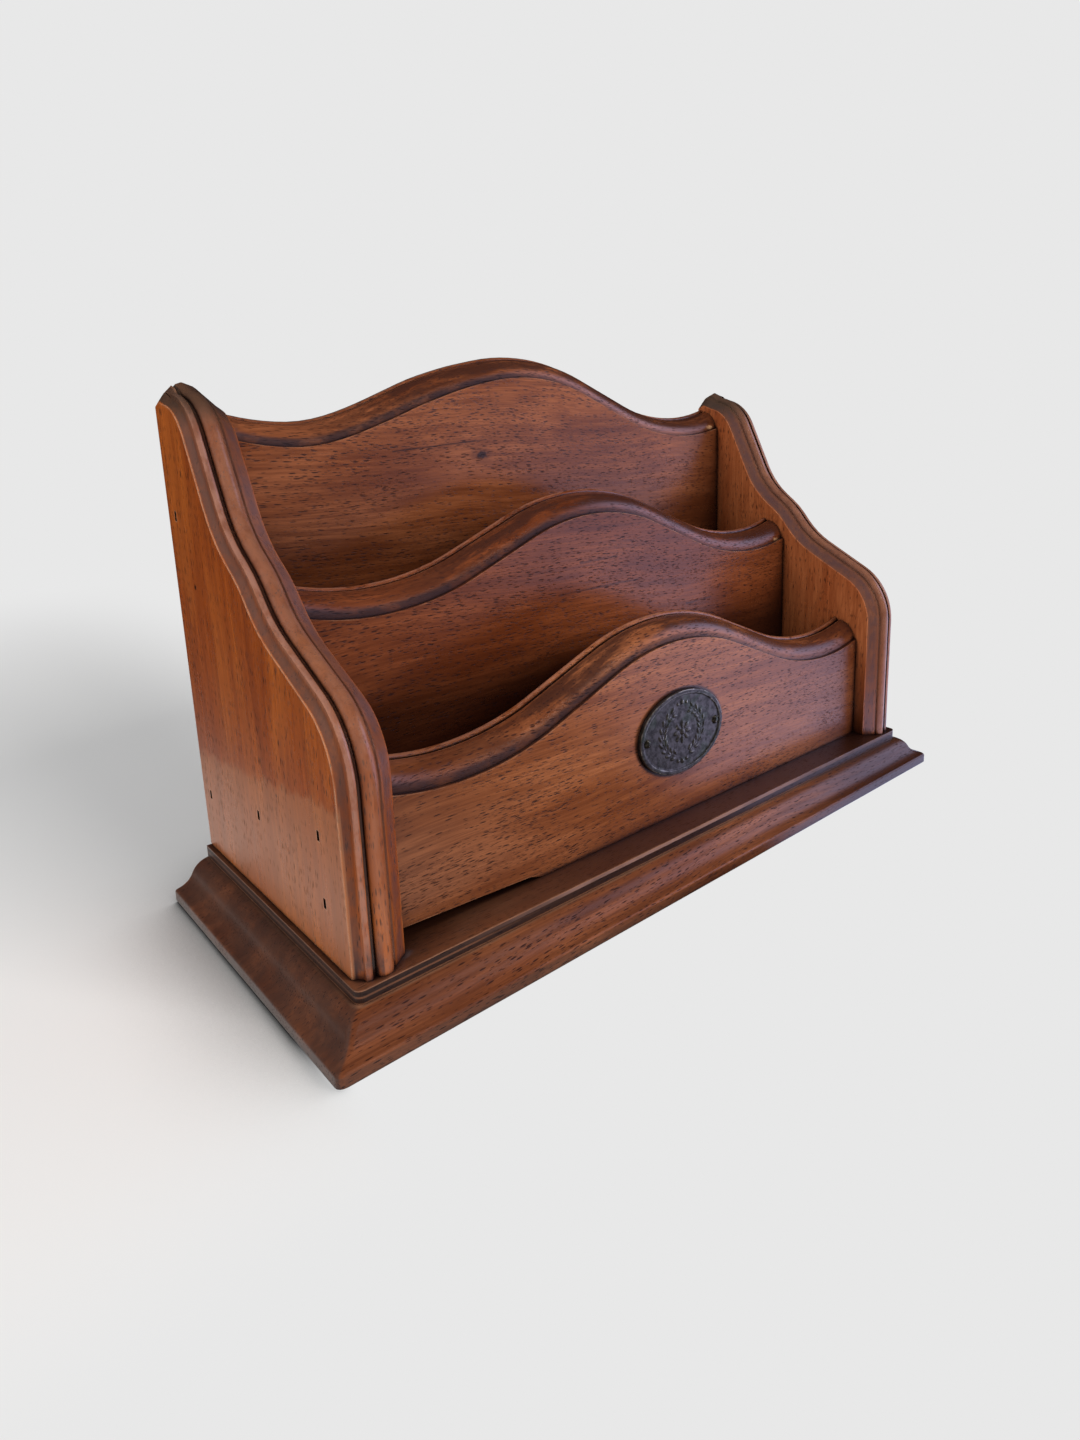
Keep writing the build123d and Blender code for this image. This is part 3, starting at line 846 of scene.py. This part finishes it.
def back_board_marks(wood, place, colour):
    """Knot, crack, painted shade on the ridge's far side and low down, darker towards the right
    panel, and a pale chip at the right end of the back board.
    """
    knot_place = (-20.7 * mm, 45 * mm, platform_z + 120.9 * mm)
    ring = spot(wood, place, knot_place, (11, 8, 6))
    colour = lay_tone(wood, colour, (84, 42, 26), ring, 0.5)
    knot = spot(wood, place, knot_place, (4.6, 8, 3))
    colour = lay_tone(wood, colour, (30, 16, 14), knot, 0.85)
    front = back_y - board_thickness
    crack_points = ((-54.8, 123.2), (-37.5, 124.7), (-18.7, 126.3))
    crack_places = [(x * mm, front, platform_z + z * mm) for x, z in crack_points]
    for start, end in zip(crack_places, crack_places[1:]):
        crack = streak(wood, place, start, end, 0.5 * mm)
        colour = lay_tone(wood, colour, (34, 18, 14), crack, 0.8)
    x, y, z = parts(wood, place)
    # On the left, the back part of the ridge top is painted nearly black: painted shade.
    rear = ramp(wood, y, back_y - 2 * mm, back_y - 1.2 * mm)
    on_left, on_top = ramp(wood, x, 30 * mm, 0), ramp(wood, facing_up(wood), 0.05, 0.25)
    colour = lay_tone(wood, colour, (24, 14, 12), rear, on_left, on_top, 0.85)
    colour = lay_tone(wood, colour, (48, 18, 6), ramp(wood, x, 72 * mm, 104 * mm, 0, 0.45))
    # Lower down the board darkens: painted shade in the slot.
    low = ramp(wood, z, platform_z + 116 * mm, platform_z + 86 * mm, 0, 0.55)
    colour = lay_tone(wood, colour, (40, 16, 6), low)
    return pale_chip(wood, place, colour, 101.5 * mm, 50 * mm, 128.9 * mm)


def middle_board_marks(wood, place, colour):
    """Dark streaks in the grain, painted shade low in the slot and a pale chip at the right end of
    the middle board.
    """
    front = back_y - board_pitch - board_thickness
    z = parts(wood, place)[2]
    line_ends = ((-18.7, 74.2, 18.4, 74.9), (44, 61.2, 58, 61.8), (-9, 84.4, 8, 84.9))
    for x1, z1, x2, z2 in line_ends:
        start = (x1 * mm, front, platform_z + z1 * mm)
        end = (x2 * mm, front, platform_z + z2 * mm)
        colour = lay_tone(wood, colour, (44, 20, 14), streak(wood, place, start, end, 0.7 * mm), 0.6)
    # Lower down the board darkens to near black: painted shade in the slot.
    low = ramp(wood, z, platform_z + 66 * mm, platform_z + 44 * mm, 0, 0.84)
    colour = lay_tone(wood, colour, (26, 8, 5), low)
    return pale_chip(wood, place, colour, 101.5 * mm, front + 5 * mm, 80.7 * mm)


def front_board_marks(wood, place, colour):
    """Painted shadow and dirt round the plate, darker towards both ends, and a pale chip at the
    right end of the front board.
    """
    # A dark ring round the plate: the plate's painted shadow, with dirt.
    offset = vector(wood, "SUBTRACT", place, plate_centre)
    scaled = vector(wood, "MULTIPLY", offset, (2 / plate_width, 0, 2 / plate_height))
    reach = vector(wood, "LENGTH", scaled)
    colour = lay_tone(wood, colour, (26, 15, 13), ramp(wood, reach, 1.1, 1.03, 0, 0.8))
    x = parts(wood, place)[0]
    colour = lay_tone(wood, colour, (70, 30, 16), ramp(wood, x, 15 * mm, 80 * mm, 0, 0.3))
    colour = lay_tone(wood, colour, (62, 30, 20), ramp(wood, x, -50 * mm, -105 * mm, 0, 0.3))
    return pale_chip(wood, place, colour, 102.5 * mm, plate_face_y + 5 * mm, 39.5 * mm)


def make_board(name, rear_y, crest, tones, own_marks):
    """Half a board from its section, mirrored to a whole one."""
    start = Vector((0, rear_y, platform_z + crest))
    board = new_shape(name, start + Vector((0, 0, -top_ridge_shoulder)))
    draw_section(board_section(), (0, -1, 0), (0, 0, 1))
    pick_all()
    sweep_wave(start)
    pick_all()
    bpy.ops.mesh.bisect(plane_co=(inner_face, 0, 0), plane_no=(1, 0, 0), clear_outer=True)
    for face_y in (rear_y, rear_y - board_thickness):
        pick(lambda p: near(p.y, face_y))
        pull((0, 0, -crest))
        bpy.ops.transform.resize(value=(1, 1, 0), center_override=(0, 0, platform_z))
    pick(lambda p: near(p.x, inner_face))
    bpy.ops.mesh.edge_face_add()
    level = platform_z + crest + tongue_top
    bpy.ops.mesh.bisect(plane_co=(0, 0, level), plane_no=(0, 0, 1))
    pick(lambda p: near(p.x, inner_face) and p.z < level + 0.01 * mm)
    pull((housing_depth, 0, 0))
    pick(lambda p: near(p.z, platform_z))
    bpy.ops.mesh.edge_face_add()
    bpy.ops.object.mode_set(mode="OBJECT")
    finish_with(board, "MIRROR", use_clip=True, merge_threshold=0.01 * mm)
    bpy.ops.object.mode_set(mode="EDIT")
    if name.startswith("back"):
        foot = platform_z + left_slope_foot
        pick(lambda p: left_slope_start < p.x < left_slope_end and p.z > foot)
        soft = {"proportional_edit_falloff": "SMOOTH", "proportional_size": left_slope_reach}
        raised = (0, 0, left_slope_raised)
        bpy.ops.transform.translate(value=raised, use_proportional_edit=True, **soft)
    if name.startswith("front"):
        corner = Vector((-inner_face - housing_depth + foot_gap_length, 0, platform_z))
        pick_all()
        uphill = (foot_gap, 0, foot_gap_length)
        bpy.ops.mesh.bisect(plane_co=corner, plane_no=uphill, clear_inner=True, use_fill=True)
    close_shape()
    hand_made(board)
    soften(board)
    marks = board_marks(rear_y - board_thickness, own_marks)
    board.data.materials.append(polished_wood(name, "X", tones, 1.0, crest * 10, marks))
    return board


board_pitch = board_thickness + slot_width
board_looks = {
    "back_board": (((88, 40, 19), (142, 78, 43), (172, 102, 64)), back_board_marks),
    "middle_board": (((80, 34, 15), (124, 62, 31), (152, 82, 46)), middle_board_marks),
    "front_board": (((98, 47, 24), (150, 85, 48), (180, 110, 70)), front_board_marks),
}
plate_width = 39 * mm
plate_height = 29.3 * mm
plate_face_y = back_y - 2 * board_pitch - board_thickness
plate_centre = Vector((0, plate_face_y, platform_z + 30.2 * mm))
plate_pin_x = plate_width / 2 - 3.4 * mm
pin_hole_in_board = (1.5 * mm, 13 * mm, 1.5 * mm)
pin_hole_in_plate = (1.5 * mm, 6 * mm, 1.5 * mm)
pin_places = [plate_centre + Vector((side * plate_pin_x, 0, 0)) for side in (1, -1)]
brad_heights = {
    "back_board": (106.5 * mm, 19.1 * mm),
    "middle_board": (26 * mm,),
    "front_board": (34.4 * mm, 15.8 * mm),
}
brad_head = (2.8 * mm, 1.4 * mm, 2.8 * mm)
brad_shank = (60 * mm, 1.2 * mm, 2.2 * mm)
boards = {}
for i, (name, crest) in enumerate(board_crests.items()):
    rear_y = back_y - i * board_pitch
    board = make_board(name + "_moulded", rear_y, crest, *board_looks[name])
    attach(board, "root")
    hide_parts(name)
    boards[name] = board
    height = crest + tongue_top + housing_clearance
    wide = board_thickness + 2 * housing_clearance
    housing = (2 * (housing_depth + housing_clearance), wide, 2 * height)
    middle_y = rear_y - board_thickness / 2
    cut_away(panel, (inner_face, middle_y, platform_z), housing)
    for brad_height in brad_heights[name]:
        brad_place = Vector((half_rack, middle_y, platform_z + brad_height))
        cut_away(panel, brad_place, brad_head)
        cut_away(board, brad_place, brad_shank)
        cut_away(board, brad_place * Vector((-1, 1, 1)), brad_shank)
        cut_away(panel, brad_place, brad_shank)
for pin_place in pin_places:
    cut_away(boards["front_board"], pin_place, pin_hole_in_board)

take_up(panel)
bpy.ops.object.duplicate()
left_panel = bpy.context.object
left_panel.name = "side_panel_left_moulded"
bpy.ops.object.mode_set(mode="EDIT")
pick_all()
bpy.ops.transform.resize(value=(-1, 1, 1), center_override=(0, 0, 0))
close_shape()
stray_holes = ((16.2, 86.8, 1.7, 0.95), (62.3, 36.9, 1.1, 0.7))


def panel_marks(wood, place, colour):
    """Wear and painted highlights, shade and reflections in bands along the mouldings, and on the
    left panel a painted pale reflection low down and two stray holes.
    """
    x, y, z = parts(wood, place)
    inwards = number(wood, "SUBTRACT", half_rack, number(wood, "ABSOLUTE", x))
    patches = ramp(wood, mottle(wood, place, (3, 6, 6), 4, 0.65), 0.34, 0.6, 0.3, 1)
    moulded = between(wood, inwards, 0.4 * mm, panel_thickness - 0.3 * mm)
    worn = ramp(wood, z, platform_z + 20 * mm, platform_z + 75 * mm, 0.1, 0.6)
    on_right = number(wood, "GREATER_THAN", x, 0)
    cove = between(wood, inwards, 0.5 * mm, ridge_start - 0.1 * mm)
    ridge = between(wood, inwards, ridge_start + 0.1 * mm, ridge_end - 0.3 * mm)
    quirk = between(wood, inwards, ridge_end, bead_outer)
    bead = between(wood, inwards, bead_outer + 0.5 * mm, bead_inner - 0.5 * mm, 0.5 * mm)
    inner_quirk = between(wood, inwards, bead_inner - 0.1 * mm, strip_start + 0.1 * mm, 0.3 * mm)
    strip = between(wood, inwards, strip_start + 0.8 * mm, panel_thickness - 0.7 * mm, 0.7 * mm)
    ear = ramp(wood, z, platform_z + 130 * mm, platform_z + 140 * mm)
    outer_band = between(wood, inwards, 0.6 * mm, 6.5 * mm)
    low = ramp(wood, z, platform_z + 13 * mm, platform_z + 2 * mm)
    edge = between(wood, inwards, -0.2 * mm, 0.45 * mm)
    turned = ramp(wood, edge_turn(wood, 0.8 * mm), 0.99, 0.93)
    on_left = number(wood, "LESS_THAN", x, 0.8 * mm - half_rack)
    foot_top = number(wood, "MULTIPLY_ADD", y, -0.13, platform_z + 41.5 * mm)
    below = number(wood, "SUBTRACT", foot_top, number(wood, "MULTIPLY_ADD", patches, 3 * mm, z))
    for tone, *shares in (
        ((100, 70, 58), moulded, worn),
        ((66, 50, 46), moulded, on_right, 0.4),
        # The cove's grey tone: painted reflection and stain.
        ((90, 66, 60), cove, patches, 0.6),
        # Painted highlight on the ridge.
        ((172, 126, 110), ridge, patches, 0.6),
        # Painted shade in the quirk.
        ((40, 20, 15), quirk, 0.8),
        # Painted highlight on the bead.
        ((158, 108, 86), bead, patches, 0.4),
        # Painted shade in the inner quirk.
        ((52, 30, 26), inner_quirk, 0.7),
        # Painted shade with a purple reflection on the sloping strip.
        ((76, 57, 62), strip, patches, 0.6),
        ((62, 52, 42), ear, moulded, 0.75),
        # Darker at the foot of the outer moulding.
        ((48, 38, 42), outer_band, low, patches, 0.75),
        ((204, 160, 130), edge, turned, patches, 0.7),
        # Low on the left panel's outer face, under a sloping line, a paler tone: painted
        # reflection.
        ((190, 134, 96), on_left, ramp(wood, below, -1.5 * mm, 1.5 * mm), 0.3),
    ):
        colour = lay_tone(wood, colour, tone, *shares)
    for depth, height, size, amount in stray_holes:
        centre = (-half_rack, back_y - depth * mm, platform_z + height * mm)
        hole = spot(wood, place, centre, (4, size, size))
        colour = lay_tone(wood, colour, (18, 9, 7), hole, amount)
    return colour, times(wood, cove, 0.5)


sides = (
    ("side_panel_left", left_panel, ((124, 54, 16), (172, 83, 25), (196, 106, 40)), 2.1),
    ("side_panel_right", panel, ((130, 62, 30), (178, 96, 54), (198, 118, 72)), 3.1),
)
for name, side_panel, tones, shift in sides:
    wood = polished_wood(name + "_wood", "Z", tones, 0.45, shift, panel_marks)
    side_panel.data.materials.append(wood)
    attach(side_panel, "root")
    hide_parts(name)

# Oval plate
# A cast oval plate of dark metal with a narrow rim. In its field, worn leaf
# sprays and pellets stand round a rosette. Two pins hold it to the front board.
plate_thickness = 1.0 * mm
plate_rim_width = 1.5 * mm
plate_rim_rise = 0.5 * mm
relief_grain = 0.2 * mm
boss_size = (2.2 * mm, 1.3 * mm, 2.2 * mm)
petal_size = (2.8 * mm, 0.9 * mm, 1.5 * mm)
petal_out = 2.7 * mm
petals = 8
stem_size = (1.5 * mm, 0.5 * mm, 0.5 * mm)
leaf_size = (2.3 * mm, 0.8 * mm, 0.95 * mm)
leaf_out = 1.15 * mm
leaf_lean = 32
leaf_pairs = 9
first_leaf_angle = -64
leaf_step_angle = 16
spray_half_width = 9.2 * mm
spray_half_height = 8.4 * mm
small_pellet = (1.1 * mm, 0.9 * mm, 1.1 * mm)
large_pellet = (1.5 * mm, 1.1 * mm, 1.5 * mm)
small_pellet_aside = 2 * mm
small_pellet_level = 10.2 * mm
large_pellet_level = 10.6 * mm


def old_metal(name, dark, light, worn, roughness, patch):
    """Tarnished metal: clouds of some millimetres, dirty hollows, bright where rubbed."""
    metal = emptied(bpy.data.materials.new(name))
    place = node(metal, "TexCoord").outputs["Object"]
    clouds = ramp(metal, mottle(metal, place, [patch] * 3, 3, 0.65), 0.32, 0.66)
    colour = overlay(metal, clouds, paint(*dark), paint(*light))
    green = mottle(metal, place, [2.2 * patch] * 3, 2)
    colour = lay_tone(metal, colour, (70, 84, 66), ramp(metal, green, 0.5, 0.68, 0, 0.35))
    hollow = ramp(metal, openness(metal, 1.2 * mm), 0.9, 0.5, 0, 0.85)
    colour = lay_tone(metal, colour, (16, 14, 15), hollow)
    sharp = ramp(metal, node(metal, "NewGeometry").outputs["Pointiness"], 0.505, 0.56)
    rubs = ramp(metal, mottle(metal, place, [1.6 * patch] * 3, 2), 0.42, 0.6, 0.15, 1)
    colour = lay_tone(metal, colour, worn, sharp, rubs)
    rough = number(metal, "MULTIPLY_ADD", clouds, -0.15, roughness)
    show(metal, colour, rough, clouds, 0.3, 0.1 * mm, {"Metallic": 0.75})
    return metal


def raise_oval(place, size, turn=0.0):
    """Add a half-sunk pellet or leaf to the field, turned about the line of sight."""
    bpy.ops.mesh.primitive_ico_sphere_add(subdivisions=3, radius=0.5, location=(0, 0, 0))
    bpy.ops.transform.resize(value=size, center_override=(0, 0, 0))
    bpy.ops.transform.rotate(value=turn, orient_axis="Y", center_override=(0, 0, 0))
    bpy.ops.transform.translate(value=field_centre + Vector((place[0], 0, place[1])))


field_centre = plate_centre + Vector((0, -plate_thickness, 0))
full_thickness = plate_thickness + plate_rim_rise
bpy.ops.mesh.primitive_cylinder_add(vertices=96, radius=0.5, depth=1, location=(0, 0, 0))
plate = bpy.context.object
plate.name = "oval_plate_cast"
plate.data.name = "oval_plate_cast"
bpy.ops.object.mode_set(mode="EDIT")
pick_all()
bpy.ops.transform.rotate(value=radians(90), orient_axis="X", center_override=(0, 0, 0))
plate_size = (plate_width, full_thickness, plate_height)
bpy.ops.transform.resize(value=plate_size, center_override=(0, 0, 0))
bpy.ops.transform.translate(value=plate_centre + Vector((0, -full_thickness / 2, 0)))
pick(lambda p: near(p.y, plate_face_y - full_thickness))
bpy.ops.mesh.inset(thickness=plate_rim_width, depth=0)
pull((0, plate_rim_rise, 0))
raise_oval((0, 0), boss_size)
for i in range(petals):
    a = radians(360 / petals * i)
    raise_oval((petal_out * cos(a), petal_out * sin(a)), petal_size, a)
for side in (1, -1):
    for i in range(leaf_pairs):
        a = radians(first_leaf_angle + leaf_step_angle * i)
        stem = (side * spray_half_width * cos(a), spray_half_height * sin(a))
        raise_oval(stem, stem_size, side * (a + radians(90)))
        for way in (1, -1):
            wide = spray_half_width + way * leaf_out
            high = spray_half_height + way * leaf_out
            leaf_turn = side * (a + radians(90 - way * leaf_lean))
            raise_oval((side * wide * cos(a), high * sin(a)), leaf_size, leaf_turn)
    for end in (-1, 1):
        raise_oval((side * small_pellet_aside, end * small_pellet_level), small_pellet)
for end in (1, -1):
    raise_oval((0, end * large_pellet_level), large_pellet)
bpy.ops.object.mode_set(mode="OBJECT")
finish_with(plate, "REMESH", mode="VOXEL", voxel_size=relief_grain)
finish_with(plate, "SMOOTH", factor=0.5, iterations=3)
for pin_place in pin_places:
    cut_away(plate, pin_place, pin_hole_in_plate)
shade(plate, 50)
dark_metal = old_metal("plate_metal", (62, 57, 56), (94, 87, 86), (200, 194, 186), 0.5, 2.2)
plate.data.materials.append(dark_metal)
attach(plate, "root")
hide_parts("oval_plate")

# Pins, brads and wood screws
# Domed pins of dulled brass in the plate, flat cut brads of dark iron sunk in the
# panels, and slotted steel screws up through the base. They keep their CAD shapes.
panel_screw_x = half_rack - panel_thickness / 2
panel_screw_inset = 20 * mm
back_screw_x = 50 * mm
head_hole = (7.3 * mm, 7.3 * mm, 1.8 * mm)
base_hole = (3.7 * mm, 3.7 * mm, 40 * mm)
upper_hole = (3.7 * mm, 3.7 * mm, 73 * mm)
metals = {
    "pin": old_metal("pin_brass", (30, 26, 24), (64, 56, 48), (170, 160, 140), 0.36, 0.9),
    "brad": old_metal("brad_iron", (22, 17, 16), (46, 36, 34), (88, 76, 72), 0.6, 1),
    "screw": old_metal("screw_steel", (92, 86, 82), (142, 136, 130), (196, 190, 184), 0.45, 2),
}
for name, cad_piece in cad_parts.items():
    for word, metal in metals.items():
        if word in name:
            cad_piece.data.materials.clear()
            cad_piece.data.materials.append(metal)

screws = []
for side, screwed in ((1, panel), (-1, left_panel)):
    for depth in (panel_screw_inset, panel_depth - panel_screw_inset):
        screws.append((screwed, (side * panel_screw_x, back_y - depth, 0)))
for side in (1, -1):
    place = (side * back_screw_x, back_y - board_thickness / 2, 0)
    screws.append((boards["back_board"], place))
for screwed, place in screws:
    for shape, hole in ((base, head_hole), (base, base_hole), (screwed, upper_hole)):
        cut_away(shape, place, hole, round_tool=True)

for shape in (base, panel, left_panel, *boards.values()):
    shade(shape)
